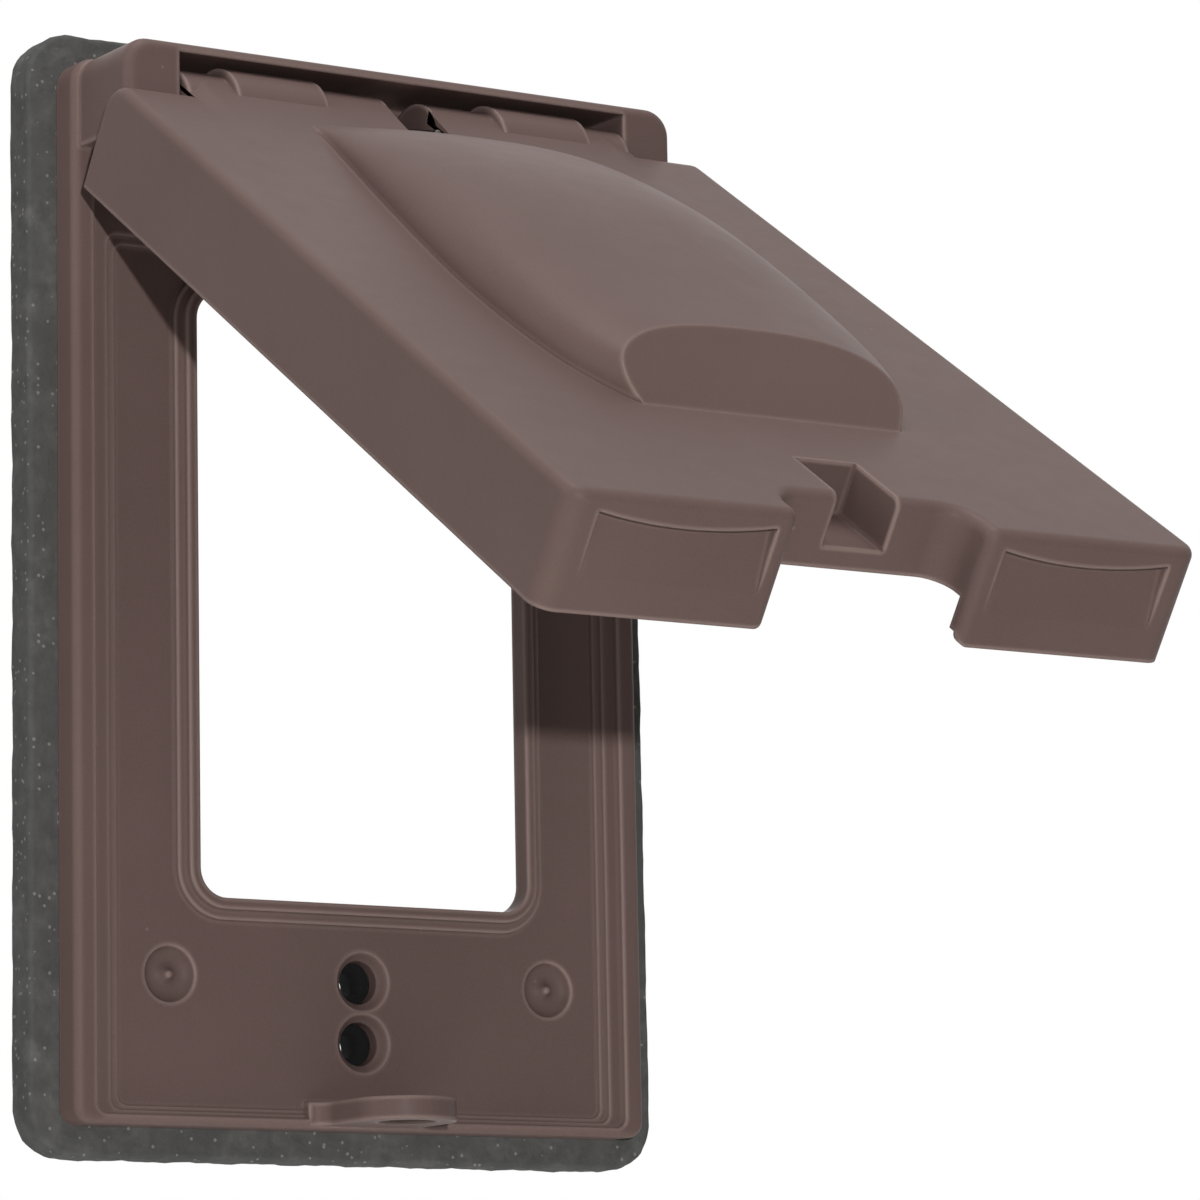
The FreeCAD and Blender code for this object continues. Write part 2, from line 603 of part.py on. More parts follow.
def buildLid():
    fused = doc.addObject("Part::Fuse", "lid_with_hump")
    fused.Base = buildLidShell()
    fused.Tool = buildHump("hump", lidFront, 0.0)
    lid = doc.addObject("Part::Cut", "lid")
    lid.Base = fused
    lid.Tool = buildHump("hump_hollow", lidInner, lidSkin.value)
    lid.Label = "lid"
    turn = "Sizes.openAngle * 1 deg"
    lid.Placement = Placement(Vector(), Rotation(Vector(-1, 0, 0), openAngle.value))
    lid.setExpression("Placement.Rotation.Angle", turn)
    lid.setExpression("Placement.Base.y", "0 - Sizes.hingeY"
                      f" + Sizes.hingeY * cos({turn}) - Sizes.hingeZ * sin({turn})")
    lid.setExpression("Placement.Base.z", "Sizes.hingeZ"
                      f" - Sizes.hingeY * sin({turn}) - Sizes.hingeZ * cos({turn})")
    return lid


# Pieces drawn about their own axis and set on the hinge axis by their placement

def onAxis(body):
    body.setExpression("Placement.Base.y", (-hingeY).text)
    body.setExpression("Placement.Base.z", hingeZ.text)


def buildPin():
    body = newBody("hinge_pin")
    left = earInner + pinSeat - pinInset
    rod = newSketch(body, "rod", "YZ_Plane", -left)
    circle(rod, 0, 0, pinRadius)
    pad(body, rod, left + blockWidth / 2 - pinInset)
    doc.recompute()
    ends = [f"Edge{i + 1}" for i, edge in enumerate(body.Tip.Shape.Edges) if edge.BoundBox.XLength < 0.01]
    chamfer = body.newObject("PartDesign::Chamfer", "rod_ends")
    chamfer.Base = (body.getObject("rod_pad"), ends)
    chamfer.Size = pinChamfer.value
    chamfer.setExpression("Size", pinChamfer.text)
    onAxis(body)
    return body


def buildSpring():
    """Coil round the pin, a straight leg back to the plate and one out along the lid's ramp."""
    body = newBody("torsion_spring")
    turn = -notchTilt - openAngle + 90
    turns = coilTurns + turn / 360
    wire = newSketch(body, "wire", "XZ_Plane")
    circle(wire, -coilLength / 2, coilRadius, wireRadius)
    coil = body.newObject("PartDesign::AdditiveHelix", "coil")
    coil.Profile = wire
    coil.ReferenceAxis = (wire, ["H_Axis"])
    coil.Mode = "height-turns-angle"
    coil.Height = coilLength.value
    coil.setExpression("Height", coilLength.text)
    coil.Turns = turns.value
    coil.setExpression("Turns", turns.text)
    doc.recompute()
    backLeg = newSketch(body, "back_leg", "XZ_Plane")
    circle(backLeg, -coilLength / 2, coilRadius, wireRadius)
    pad(body, backLeg, hingeY - ledgeDepth, backward=True)
    lidLeg = newSketch(body, "lid_leg", "XZ_Plane", turn=turn)
    circle(lidLeg, coilLength / 2, coilRadius, wireRadius)
    pad(body, lidLeg, legLength)
    onAxis(body)
    return body


def buildGasket():
    body = newBody("gasket")
    wide = halfPlate + gasketMargin
    tall = halfHeight + gasketMargin
    foam = newSketch(body, "foam", "XZ_Plane")
    box(foam, -wide, wide, -tall, tall, gasketRadius, gasketRadius)
    pad(body, foam, gasketThick)
    cutOut = newSketch(body, "cut_out", "XZ_Plane")
    box(cutOut, -gasketCutWidth / 2, gasketCutWidth / 2, -gasketCutHeight / 2, gasketCutHeight / 2)
    pocket(body, cutOut, gasketThick, forward=True)
    holes = newSketch(body, "screw_holes", "XZ_Plane")
    for spacing in (deviceSpacing, coverSpacing):
        for side in (-1, 1):
            circle(holes, 0, spacing / 2 * side, gasketHole / 2)
    pocket(body, holes, gasketThick, forward=True)
    body.setExpression("Placement.Base.y", gasketThick.text)
    return body


pieces = [buildBase(), buildLid(), buildPin(), buildSpring(), buildGasket()]
doc.recompute()
for item in doc.Objects:
    if "Invalid" in item.State or "Error" in item.State:
        raise RuntimeError(f"{item.Name} is not built: {item.State}")
for piece in pieces:
    if piece.Shape.isNull() or not piece.Shape.isValid():
        raise RuntimeError(f"{piece.Label} has no valid shape")
    extent = piece.Shape.BoundBox
    corners = (extent.XMin, extent.XMax, extent.YMin, extent.YMax, extent.ZMin, extent.ZMax)
    print(piece.Label, round(piece.Shape.Volume, 1), len(piece.Shape.Solids), [round(v, 2) for v in corners])
    piece.Shape.exportStep(f"parts/{piece.Label}.step")
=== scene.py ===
import math
import bpy
import numpy as np
from mathutils import Matrix, Vector


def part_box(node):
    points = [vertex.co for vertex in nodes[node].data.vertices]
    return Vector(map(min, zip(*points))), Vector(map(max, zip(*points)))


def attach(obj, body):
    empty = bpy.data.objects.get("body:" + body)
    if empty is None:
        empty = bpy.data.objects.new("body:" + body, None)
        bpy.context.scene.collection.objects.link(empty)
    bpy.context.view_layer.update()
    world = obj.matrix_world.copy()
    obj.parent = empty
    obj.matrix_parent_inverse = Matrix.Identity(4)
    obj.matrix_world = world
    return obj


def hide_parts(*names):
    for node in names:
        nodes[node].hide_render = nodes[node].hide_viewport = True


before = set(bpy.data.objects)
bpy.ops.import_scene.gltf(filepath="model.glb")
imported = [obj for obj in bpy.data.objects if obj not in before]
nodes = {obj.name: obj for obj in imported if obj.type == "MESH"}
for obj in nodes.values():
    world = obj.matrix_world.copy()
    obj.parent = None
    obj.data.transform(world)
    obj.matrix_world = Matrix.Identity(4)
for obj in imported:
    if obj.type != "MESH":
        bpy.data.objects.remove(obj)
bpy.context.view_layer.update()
print("frame loaded:", sorted(nodes))


# Node helpers

def addNode(tree, kind, place=(0, 0), **settings):
    node = tree.nodes.new(kind)
    node.location = place
    for key, value in settings.items():
        setattr(node, key, value)
    return node


# A socket is joined to the node's input, a number or colour is set on it.
def feed(tree, node, values):
    for label, value in values.items():
        if isinstance(value, bpy.types.NodeSocket):
            tree.links.new(value, node.inputs[label])
        else:
            node.inputs[label].default_value = value


def calculate(tree, place, operation, *values):
    node = addNode(tree, "ShaderNodeMath", place, operation=operation)
    feed(tree, node, dict(enumerate(values)))
    return node.outputs[0]


def newMaterial(name):
    material = bpy.data.materials.new(name)
    material.use_nodes = True
    tree = material.node_tree
    shader = tree.nodes["Principled BSDF"]
    return material, tree, shader


def newGroup(name, inputs, outputs):
    group = bpy.data.node_groups.new(name, "ShaderNodeTree")
    for label, value in inputs.items():
        socket = group.interface.new_socket(name=label, in_out="INPUT", socket_type="NodeSocketFloat")
        socket.default_value = value
    for label, kind in outputs.items():
        group.interface.new_socket(name=label, in_out="OUTPUT", socket_type=kind)
    start = addNode(group, "NodeGroupInput", (-900, 0))
    end = addNode(group, "NodeGroupOutput", (900, 0))
    return group, start, end


def placeGroup(tree, group, place, **values):
    node = addNode(tree, "ShaderNodeGroup", place)
    node.node_tree = group
    feed(tree, node, values)
    return node


def mixColours(tree, place, factor, first, second):
    mix = addNode(tree, "ShaderNodeMix", place, data_type="RGBA")
    feed(tree, mix, {0: factor, 6: first, 7: second})
    return mix.outputs[2]


# 0 to 1 spread over the span.
def toRange(tree, place, value, span):
    node = addNode(tree, "ShaderNodeMapRange", place)
    feed(tree, node, {"Value": value, "To Min": span[0], "To Max": span[1]})
    return node.outputs["Result"]


# 0 at the span's first number, 1 at its second.
def fromRange(tree, place, value, span):
    node = addNode(tree, "ShaderNodeMapRange", place)
    feed(tree, node, {"Value": value, "From Min": span[0], "From Max": span[1]})
    return node.outputs["Result"]


def shade(red, green, blue):  # display values 0 to 255 as the scene's linear colour
    linear = [((c / 255 + 0.055) / 1.055) ** 2.4 if c > 10 else c / 255 / 12.92 for c in (red, green, blue)]
    return (*linear, 1.0)


# Effects that the finishes share

edgeTest = {
    "normalSamples": 6,
    "wider": 1.6,              # the mask's radius, as a multiple of the normal's
    "agree": (0.995, 0.86),    # normals' agreement where the mask begins and where it is full
    "openSamples": 4,
    "openReach": 0.0006,       # walls nearer than this close a place in
    "openness": (0.7, 0.95),   # closed in, and open
}


# Soft edge: the normal rounded over a small radius, and a mask that is 1 on the outer edges; the paint
# lightens its colour there as a painted highlight.
# The mask is how far the wide normal leans from the face, times how open the place is.
def buildSoftEdge():
    group, start, end = newGroup("softEdge", {"Radius": 0.0004},
                                 {"Normal": "NodeSocketVector", "Edge": "NodeSocketFloat"})
    radius = start.outputs["Radius"]
    narrow = addNode(group, "ShaderNodeBevel", (-600, 100), samples=edgeTest["normalSamples"])
    wide = addNode(group, "ShaderNodeBevel", (-600, -150), samples=edgeTest["normalSamples"])
    feed(group, narrow, {"Radius": radius})
    feed(group, wide, {"Radius": calculate(group, (-750, -150), "MULTIPLY", radius, edgeTest["wider"])})
    surface = addNode(group, "ShaderNodeNewGeometry", (-600, -350))
    lean = addNode(group, "ShaderNodeVectorMath", (-350, -200), operation="DOT_PRODUCT")
    feed(group, lean, {0: wide.outputs["Normal"], 1: surface.outputs["Normal"]})
    nearby = addNode(group, "ShaderNodeAmbientOcclusion", (-350, -450),
                     samples=edgeTest["openSamples"], only_local=True)
    feed(group, nearby, {"Distance": edgeTest["openReach"]})
    leaning = fromRange(group, (-100, -200), lean.outputs["Value"], edgeTest["agree"])
    openness = fromRange(group, (-100, -450), nearby.outputs["AO"], edgeTest["openness"])
    feed(group, end, {"Normal": narrow.outputs["Normal"],
                      "Edge": calculate(group, (150, -300), "MULTIPLY", leaning, openness)})
    return group


mottleDetail = {
    "Broad": {"Detail": 4, "Roughness": 0.6},
    "Fine": {"Detail": 3},
}


# Mottle: two noises on the piece's own coordinates, a broad one and a fine one, both 0 to 1.
def buildMottle():
    group, start, end = newGroup("mottle", {"Broad": 30.0, "Fine": 1500.0},
                                 {"Broad": "NodeSocketFloat", "Fine": "NodeSocketFloat"})
    place = addNode(group, "ShaderNodeTexCoord", (-700, 0))
    for row, (label, detail) in enumerate(mottleDetail.items()):
        noise = addNode(group, "ShaderNodeTexNoise", (-450, 150 - 300 * row))
        feed(group, noise, {"Vector": place.outputs["Object"], "Scale": start.outputs[label], **detail})
        feed(group, end, {label: noise.outputs["Fac"]})
    return group


# Specks: sparse round spots on the piece's own coordinates, 1 inside a spot.
def buildSpecks():
    group, start, end = newGroup("specks", {"Scale": 200.0, "Size": 0.1, "Share": 0.1},
                                 {"Mask": "NodeSocketFloat"})
    place = addNode(group, "ShaderNodeTexCoord", (-800, 0))
    cells = addNode(group, "ShaderNodeTexVoronoi", (-600, 0))
    feed(group, cells, {"Vector": place.outputs["Object"], "Scale": start.outputs["Scale"]})
    split = addNode(group, "ShaderNodeSeparateColor", (-500, -150))
    feed(group, split, {0: cells.outputs["Color"]})
    near = calculate(group, (-350, 100), "LESS_THAN", cells.outputs["Distance"], start.outputs["Size"])
    chosen = calculate(group, (-350, -100), "LESS_THAN", split.outputs[0], start.outputs["Share"])
    feed(group, end, {"Mask": calculate(group, (-100, 0), "MULTIPLY", near, chosen)})
    return group


# Hole mask: 1 inside the four screw holes, which lie on the centreline at two heights up and down; the foam
# uses it to paint shade into the holes.
# The distance is that of x and of ||z| - Middle| - Half from nought.
def buildHoleMask():
    group, start, end = newGroup("holeMask", {"Middle": 0.045, "Half": 0.003, "Radius": 0.002},
                                 {"Mask": "NodeSocketFloat"})
    place = addNode(group, "ShaderNodeTexCoord", (-850, 0))
    split = addNode(group, "ShaderNodeSeparateXYZ", (-700, 0))
    feed(group, split, {0: place.outputs["Object"]})
    height = calculate(group, (-550, -100), "ABSOLUTE", split.outputs["Z"])
    fromMiddle = calculate(group, (-400, -100), "SUBTRACT", height, start.outputs["Middle"])
    either = calculate(group, (-250, -100), "ABSOLUTE", fromMiddle)
    fromHole = calculate(group, (-100, -100), "SUBTRACT", either, start.outputs["Half"])
    flat = addNode(group, "ShaderNodeCombineXYZ", (50, 0))
    feed(group, flat, {"X": split.outputs["X"], "Y": fromHole})
    distance = addNode(group, "ShaderNodeVectorMath", (200, 0), operation="LENGTH")
    feed(group, distance, {0: flat.outputs[0]})
    inside = calculate(group, (400, 0), "LESS_THAN", distance.outputs["Value"], start.outputs["Radius"])
    feed(group, end, {"Mask": inside})
    return group


softEdge = buildSoftEdge()
mottle = buildMottle()
specks = buildSpecks()
holeMask = buildHoleMask()


# Finishes. Scales are per metre, lengths in metres, ranges are a mix's weakest and strongest value.

paintLook = {
    "colour": shade(104, 86, 82),
    "deep": shade(94, 77, 73),
    "grain": shade(116, 98, 94),
    # painted highlight: a lighter colour laid along the outer edges, where rounded edges would catch the
    # light
    "edge": shade(172, 150, 143),
    "speck": shade(150, 138, 130),
    "blotchScales": {"Broad": 28.0, "Fine": 700.0},
    "grainScales": {"Broad": 260.0, "Fine": 5200.0},
    "speckShape": {"Scale": 260.0, "Size": 0.05, "Share": 0.05},
    "blotchRange": (-0.2, 1.4),
    "grainRange": (-0.2, 0.4),
    "edgeHighlightRange": (0.0, 0.6),
    "speckRange": (0.0, 0.25),
    "roughness": (0.36, 0.48),
    "specular": 0.06,
    "edgeRadius": 0.0006,
    "smoothRadius": 0.00003,
    "peelStrength": 0.6,
    "peelHeight": 0.00002,
}


def paintMaterial(name, edgeRadius):
    look = paintLook
    material, tree, shader = newMaterial(name)
    blotch = placeGroup(tree, mottle, (-900, 200), **look["blotchScales"])
    grain = placeGroup(tree, mottle, (-900, 0), **look["grainScales"])
    edge = placeGroup(tree, softEdge, (-900, -250), Radius=edgeRadius)
    fleck = placeGroup(tree, specks, (-900, -450), **look["speckShape"])
    layers = [  # what covers how much of the colours before it
        (blotch.outputs["Broad"], "blotchRange", "colour"),
        (grain.outputs["Fine"], "grainRange", "grain"),
        # painted highlight: the outer edges lightened through the soft edge mask
        (edge.outputs["Edge"], "edgeHighlightRange", "edge"),
        (fleck.outputs["Mask"], "speckRange", "speck"),
    ]
    colour = look["deep"]
    for step, (mask, span, over) in enumerate(layers):
        cover = toRange(tree, (-750 + 200 * step, 50), mask, look[span])
        colour = mixColours(tree, (-600 + 200 * step, 250), cover, colour, look[over])
    peel = addNode(tree, "ShaderNodeBump", (-200, -500))
    feed(tree, peel, {"Strength": look["peelStrength"], "Distance": look["peelHeight"],
                      "Height": blotch.outputs["Fine"], "Normal": edge.outputs["Normal"]})
    feed(tree, shader, {
        "Base Color": colour,
        "Roughness": toRange(tree, (-200, -100), grain.outputs["Broad"], look["roughness"]),
        "Specular IOR Level": look["specular"],
        "Normal": peel.outputs[0],
    })
    return material


steelLook = {
    "bright": shade(122, 119, 114),
    "dull": shade(76, 73, 70),
    "wearScales": {"Broad": 300.0, "Fine": 4000.0},
    "roughness": (0.22, 0.45),
    "edgeRadius": 0.00015,
    "drawnStrength": 0.4,
    "drawnHeight": 0.00001,
}


def steelMaterial():
    look = steelLook
    material, tree, shader = newMaterial("pinSteel")
    wear = placeGroup(tree, mottle, (-700, 100), **look["wearScales"])
    edge = placeGroup(tree, softEdge, (-700, -200), Radius=look["edgeRadius"])
    drawn = addNode(tree, "ShaderNodeBump", (-300, -250))
    feed(tree, drawn, {"Strength": look["drawnStrength"], "Distance": look["drawnHeight"],
                       "Height": wear.outputs["Fine"], "Normal": edge.outputs["Normal"]})
    feed(tree, shader, {
        "Base Color": mixColours(tree, (-300, 200), wear.outputs["Broad"], look["dull"], look["bright"]),
        "Roughness": toRange(tree, (-300, 0), wear.outputs["Fine"], look["roughness"]),
        "Metallic": 1.0,
        "Normal": drawn.outputs[0],
    })
    return material


foamLook = {
    "body": shade(114, 113, 110),
    "dark": shade(76, 76, 74),
    "light": shade(160, 159, 155),
    # painted shade: a near-black colour for the foam seen through the plate's screw holes
    "holeShade": shade(22, 22, 22),
    "patchScales": {"Broad": 120.0, "Fine": 900.0},
    "cellScales": {"Broad": 420.0, "Fine": 2600.0},
    "fleckShape": {"Scale": 1700.0, "Size": 0.32, "Share": 0.1},
    # where the painted hole shade goes: a disc round each screw hole, wider than the hole
    "holeShadePlace": {"Middle": 0.045045, "Half": 0.003375, "Radius": 0.0026},
    "patchRange": (-0.6, 1.5),
    "cellRange": (-0.9, 1.4),
    "fleckRange": (0.0, 0.4),
    "roughness": 0.95,
    "specular": 0.2,
    "poreStrength": 0.8,
    "poreDepth": 0.00025,
}


def foamMaterial():
    look = foamLook
    material, tree, shader = newMaterial("greyFoam")
    patches = placeGroup(tree, mottle, (-900, 250), **look["patchScales"])
    cells = placeGroup(tree, mottle, (-900, 0), **look["cellScales"])
    fleck = placeGroup(tree, specks, (-900, -250), **look["fleckShape"])
    holeShadeMask = placeGroup(tree, holeMask, (-500, -100), **look["holeShadePlace"])
    patchy = toRange(tree, (-700, 250), patches.outputs["Broad"], look["patchRange"])
    speckly = toRange(tree, (-500, 50), cells.outputs["Broad"], look["cellRange"])
    flecky = toRange(tree, (-300, -100), fleck.outputs["Mask"], look["fleckRange"])
    ground = mixColours(tree, (-500, 250), patchy, look["dark"], look["body"])
    speckled = mixColours(tree, (-300, 200), speckly, look["dark"], ground)
    flecked = mixColours(tree, (-100, 200), flecky, speckled, look["light"])
    pores = addNode(tree, "ShaderNodeBump", (-300, -350))
    feed(tree, pores, {"Strength": look["poreStrength"], "Distance": look["poreDepth"],
                       "Height": patches.outputs["Fine"]})
    # painted shade: the foam round each screw hole turns near-black
    feed(tree, shader, {
        "Base Color": mixColours(tree, (80, 200), holeShadeMask.outputs["Mask"], flecked, look["holeShade"]),
        "Roughness": look["roughness"],
        "Specular IOR Level": look["specular"],
        "Normal": pores.outputs[0],
    })
    return material


paint = paintMaterial("bronzePaint", paintLook["edgeRadius"])
# the same paint with a tiny edge radius, so almost no painted edge highlight shows on the fairings
smoothPaint = paintMaterial("smoothBronzePaint", paintLook["smoothRadius"])
steel = steelMaterial()
foam = foamMaterial()
for name, material in (("base_plate", paint), ("lid", paint), ("hinge_pin", steel),
                       ("torsion_spring", steel), ("gasket", foam)):
    slots = nodes[name].data.materials
    slots.clear()
    slots.append(material)
print("finishes built")


# Mesh helpers

# Quads of a grid whose columns close on themselves, and whose rows do too if closed is set.
def gridFaces(rows, columns, closed):
    index = np.arange(rows * columns).reshape(rows, columns)
    ahead = np.roll(index, -1, 0)
    if not closed:
        index, ahead = index[:-1], ahead[:-1]
    return np.stack([index, ahead, np.roll(ahead, -1, 1), np.roll(index, -1, 1)], -1).reshape(-1, 4)


def newPiece(name, points, faces):
    mesh = bpy.data.meshes.new(name)
    mesh.from_pydata(points.reshape(-1, 3).tolist(), [], faces)
    mesh.validate()
    mesh.update()
    piece = bpy.data.objects.new(name, mesh)
    bpy.context.scene.collection.objects.link(piece)
    return piece


# Foam gasket

gasketShape = {
    "edgeRound": 0.0007,       # rounding of the foam's cut edges
    "cornerOuter": 0.0055,
    "cornerInner": 0.0012,
    "cutHalf": (0.0255, 0.038),
    "sideSteps": 90,           # points along each straight side
    "arcSteps": 14,            # points round each corner
    "bendSteps": 5,            # points round each cut edge
    "flatSteps": 12,           # points across the front and the back
    "riseSteps": 5,            # points up each side
    "wave": 0.00006,           # how far the cut edge wanders
    "waveLift": 1.6,           # shifts the wandering towards the cut-out
    "waveReach": 0.12,         # share of the width over which it runs out
    "ripples": [(37, 3, 0, 1), (83, 0, 1.7, 0.6), (151, -5, 0, 0.5)],
    "holeRadius": 0.0015,
    "holeHeights": (-0.04842, -0.04167, 0.04167, 0.04842),
    "holeSides": 48,
    "holePast": 0.001,         # how far the cutters stand out of the foam
}


# A rounded rectangle: straight runs and quarter circles, walked counter-clockwise from the lower right.
def roundedPath(halfWidth, halfHeight, radius, sideSteps, arcSteps):
    run = np.linspace(0, 1, sideSteps, endpoint=False)[:, None]
    sweep = np.linspace(0, math.pi / 2, arcSteps, endpoint=False)
    centres = np.array([(1, -1), (1, 1), (-1, 1), (-1, -1)]) * (halfWidth - radius, halfHeight - radius)
    points = []
    for corner, centre in enumerate(centres):
        angle = sweep + (corner - 1) * math.pi / 2
        leave = corner * math.pi / 2
        outward = radius * np.array([math.cos(leave), math.sin(leave)])
        points.append(centre + radius * np.stack([np.cos(angle), np.sin(angle)], 1))
        points.append(centre + outward + run * (centres[(corner + 1) % 4] - centre))
    return np.concatenate(points)


# The ring's section in rows of k, m, n and p, with a quarter circle at each corner.
# The place across is k plus m times the edge's share of the width, the depth n edges plus p full depths.
def ringSection(shape):
    bend = np.linspace(0, math.pi / 2, shape["bendSteps"])
    early, late = 1 - np.sin(bend), 1 - np.cos(bend)
    flat = np.linspace(0, 1, shape["flatSteps"])[1:-1]
    rise = np.linspace(0, 1, shape["riseSteps"])[1:-1]
    back, fall = flat[::-1], rise[::-1]
    runs = [
        (0, late, early, 0),            # front, outer edge
        (flat, 1 - 2 * flat, 0, 0),
        (1, -early, late, 0),           # front, edge of the cut-out
        (1, 0, 1 - 2 * rise, rise),
        (1, -late, -early, 1),          # back, edge of the cut-out
        (back, 1 - 2 * back, 0, 1),
        (0, early, -late, 1),           # back, outer edge
        (0, 0, 1 - 2 * fall, fall),
    ]
    return np.concatenate([np.stack(np.broadcast_arrays(*run), 1) for run in runs])


# The ring's surface: s runs round the path, t round the section.
# Near both cut edges it wanders towards the cut-out by a sum of sines. Each ripple has so many waves
# round the ring, and a lean through the depth, a start and a size.
def ringSurface(shape, low, high):
    steps = shape["sideSteps"], shape["arcSteps"]
    outer = roundedPath((high.x - low.x) / 2, (high.z - low.z) / 2, shape["cornerOuter"], *steps)
    inner = roundedPath(*shape["cutHalf"], shape["cornerInner"], *steps)
    depth = high.y - low.y
    width = np.linalg.norm(outer - inner, axis=1)
    k, m, n, p = ringSection(shape).T[..., None]
    across = k + m * (shape["edgeRound"] / width)
    along = n * shape["edgeRound"] + p * depth
    s = np.linspace(0, 2 * math.pi, len(outer), endpoint=False)
    ripple = sum(size * np.sin(waves * s + lean * along / depth + begin)
                 for waves, lean, begin, size in shape["ripples"])
    reach = shape["waveReach"]
    nearEdge = np.clip(1 - across / reach, 0, 1) + np.clip(1 - (1 - across) / reach, 0, 1)
    wander = shape["wave"] * (ripple + shape["waveLift"]) * nearEdge
    place = outer + (inner - outer) * across[..., None]
    place = place - (outer - inner) / width[:, None] * wander[..., None]
    x = place[..., 0] + (low.x + high.x) / 2
    z = place[..., 1] + (low.z + high.z) / 2
    return np.stack(np.broadcast_arrays(x, low.y + along, z), -1)


# Four round cutters along y, one on each screw's axis.
def screwCutters(shape, low, high):
    sides = shape["holeSides"]
    turn = np.linspace(0, 2 * math.pi, sides, endpoint=False)
    ring = shape["holeRadius"] * np.stack([np.cos(turn), np.zeros(sides), np.sin(turn)], 1)
    ends = low.y - shape["holePast"], high.y + shape["holePast"]
    places = np.array([(0, depth, height) for height in shape["holeHeights"] for depth in ends])
    faces = []
    for first in range(0, len(places) * sides, 2 * sides):
        caps = first + np.arange(2 * sides).reshape(2, sides)
        faces += (first + gridFaces(2, sides, False)).tolist() + [caps[0].tolist(), caps[1, ::-1].tolist()]
    return newPiece("screwCutters", ring + places[:, None], faces)


def buildGasket():
    low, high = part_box("gasket")
    surface = ringSurface(gasketShape, low, high)
    piece = newPiece("foam_gasket", surface, gridFaces(*surface.shape[:2], True).tolist())
    cutters = screwCutters(gasketShape, low, high)
    holes = piece.modifiers.new("holes", "BOOLEAN")
    holes.operation = "DIFFERENCE"
    holes.object = cutters
    view = bpy.context.evaluated_depsgraph_get()
    drilled = bpy.data.meshes.new_from_object(piece.evaluated_get(view))
    piece.modifiers.clear()
    bpy.data.objects.remove(cutters)
    drilled.materials.clear()
    drilled.materials.append(foam)
    drilled.shade_smooth()
    piece.data = drilled
    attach(piece, "plate")
    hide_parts("gasket")
    return piece


gasketPiece = buildGasket()
print("gasket built:", len(gasketPiece.data.polygons), "faces")


# Fairing: the casting's smooth rise from the lid's face to the barrel, left and right of the notch

fairingShape = {
    "axis": (-0.0109, 0.0499),   # hinge axis, y and z
    "barrel": 0.0056,
    "face": -0.0155,             # the closed lid's face
    "start": 0.03566,            # height where the rise begins
    "sunk": 0.000015,            # how deep the rise begins below the face
    "buried": 0.0005,            # how deep its back lies below the face
    "backEnds": (-0.0004, 0.0006),   # its back against the rise's top and start
    "meet": 8.0,                 # slope at the barrel, in degrees
    "inner": 0.0028,             # the notch's half width
    "outer": 0.0283,
    "taper": 0.0022,             # length over which the rise runs out at the outer end
    "open": 56.3,                # how far the lid stands open, in degrees
    "crease": 30.0,              # edges sharper than this stay sharp, in degrees
    "acrossSteps": 28,
    "alongSteps": 26,
}


# The rise grows with the square of the height above its start, times a share.
# The share falls from 1 to 0 over the taper by 3 q squared less 2 q cubed. Two points behind close it.
def fairingSurface(shape, side):
    meet = math.radians(shape["meet"])
    start = shape["start"]
    top = shape["axis"][1] - shape["barrel"] * math.sin(meet)
    curve = math.tan(meet) / (2 * (top - start))
    height = np.linspace(start, top, shape["alongSteps"])
    across = np.linspace(shape["inner"], shape["outer"], shape["acrossSteps"])[:, None]
    q = np.minimum(1, (shape["outer"] - across) / shape["taper"])
    share = q * q * (3 - 2 * q)
    depth = shape["face"] + shape["sunk"] - curve * (height - start) ** 2 * share
    behind = np.full((shape["acrossSteps"], 2), shape["face"] + shape["buried"])
    height = np.append(height, (top + shape["backEnds"][0], start + shape["backEnds"][1]))
    return np.stack(np.broadcast_arrays(across * side, np.hstack([depth, behind]), height), -1)


# y and z turned about the hinge axis, from the shut lid to the open one.
def turnedOpen(points, shape):
    angle = math.radians(shape["open"])
    cosine, sine = math.cos(angle), math.sin(angle)
    pivot = np.array([0, *shape["axis"]])
    turn = np.array([[1, 0, 0], [0, cosine, sine], [0, -sine, cosine]])
    return (points - pivot) @ turn.T + pivot


def buildFairing(name, side):
    surface = fairingSurface(fairingShape, side)
    rows, columns = surface.shape[:2]
    faces = gridFaces(rows, columns, False)
    first, last = np.arange(columns), np.arange(columns) + (rows - 1) * columns
    if side > 0:
        last = last[::-1]
    else:
        faces, first = faces[:, [0, 3, 2, 1]], first[::-1]
    faces = faces.tolist() + [first.tolist(), last.tolist()]
    piece = newPiece(name, turnedOpen(surface, fairingShape), faces)
    piece.data.materials.append(smoothPaint)
    piece.data.shade_smooth()
    piece.data.set_sharp_from_angle(angle=math.radians(fairingShape["crease"]))
    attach(piece, "lid")
    return piece


fairings = [buildFairing("hinge_fairing_left", -1), buildFairing("hinge_fairing_right", 1)]
print("fairings built:", [len(piece.data.polygons) for piece in fairings], "faces")


# Floor, light and camera

# 1 for the rays that show the background: to the camera, in a gloss or through glass.
def backgroundRays(tree):
    path = addNode(tree, "ShaderNodeLightPath", (-600, 300))
    direct = calculate(tree, (-300, 300), "MAXIMUM", path.outputs["Is Camera Ray"],
                       path.outputs["Is Glossy Ray"])
    return calculate(tree, (-100, 300), "MAXIMUM", direct, path.outputs["Is Transmission Ray"])


def joinBackground(tree, factor, lit, white, out):
    mix = addNode(tree, "ShaderNodeMixShader", (300, 0))
    feed(tree, mix, {0: factor, 1: lit.outputs[0], 2: white.outputs[0]})
    feed(tree, out, {"Surface": mix.outputs[0]})


stageLook = {"height": -0.45, "size": 30.0, "colour": (0.8, 0.8, 0.79, 1.0), "roughness": 0.8}


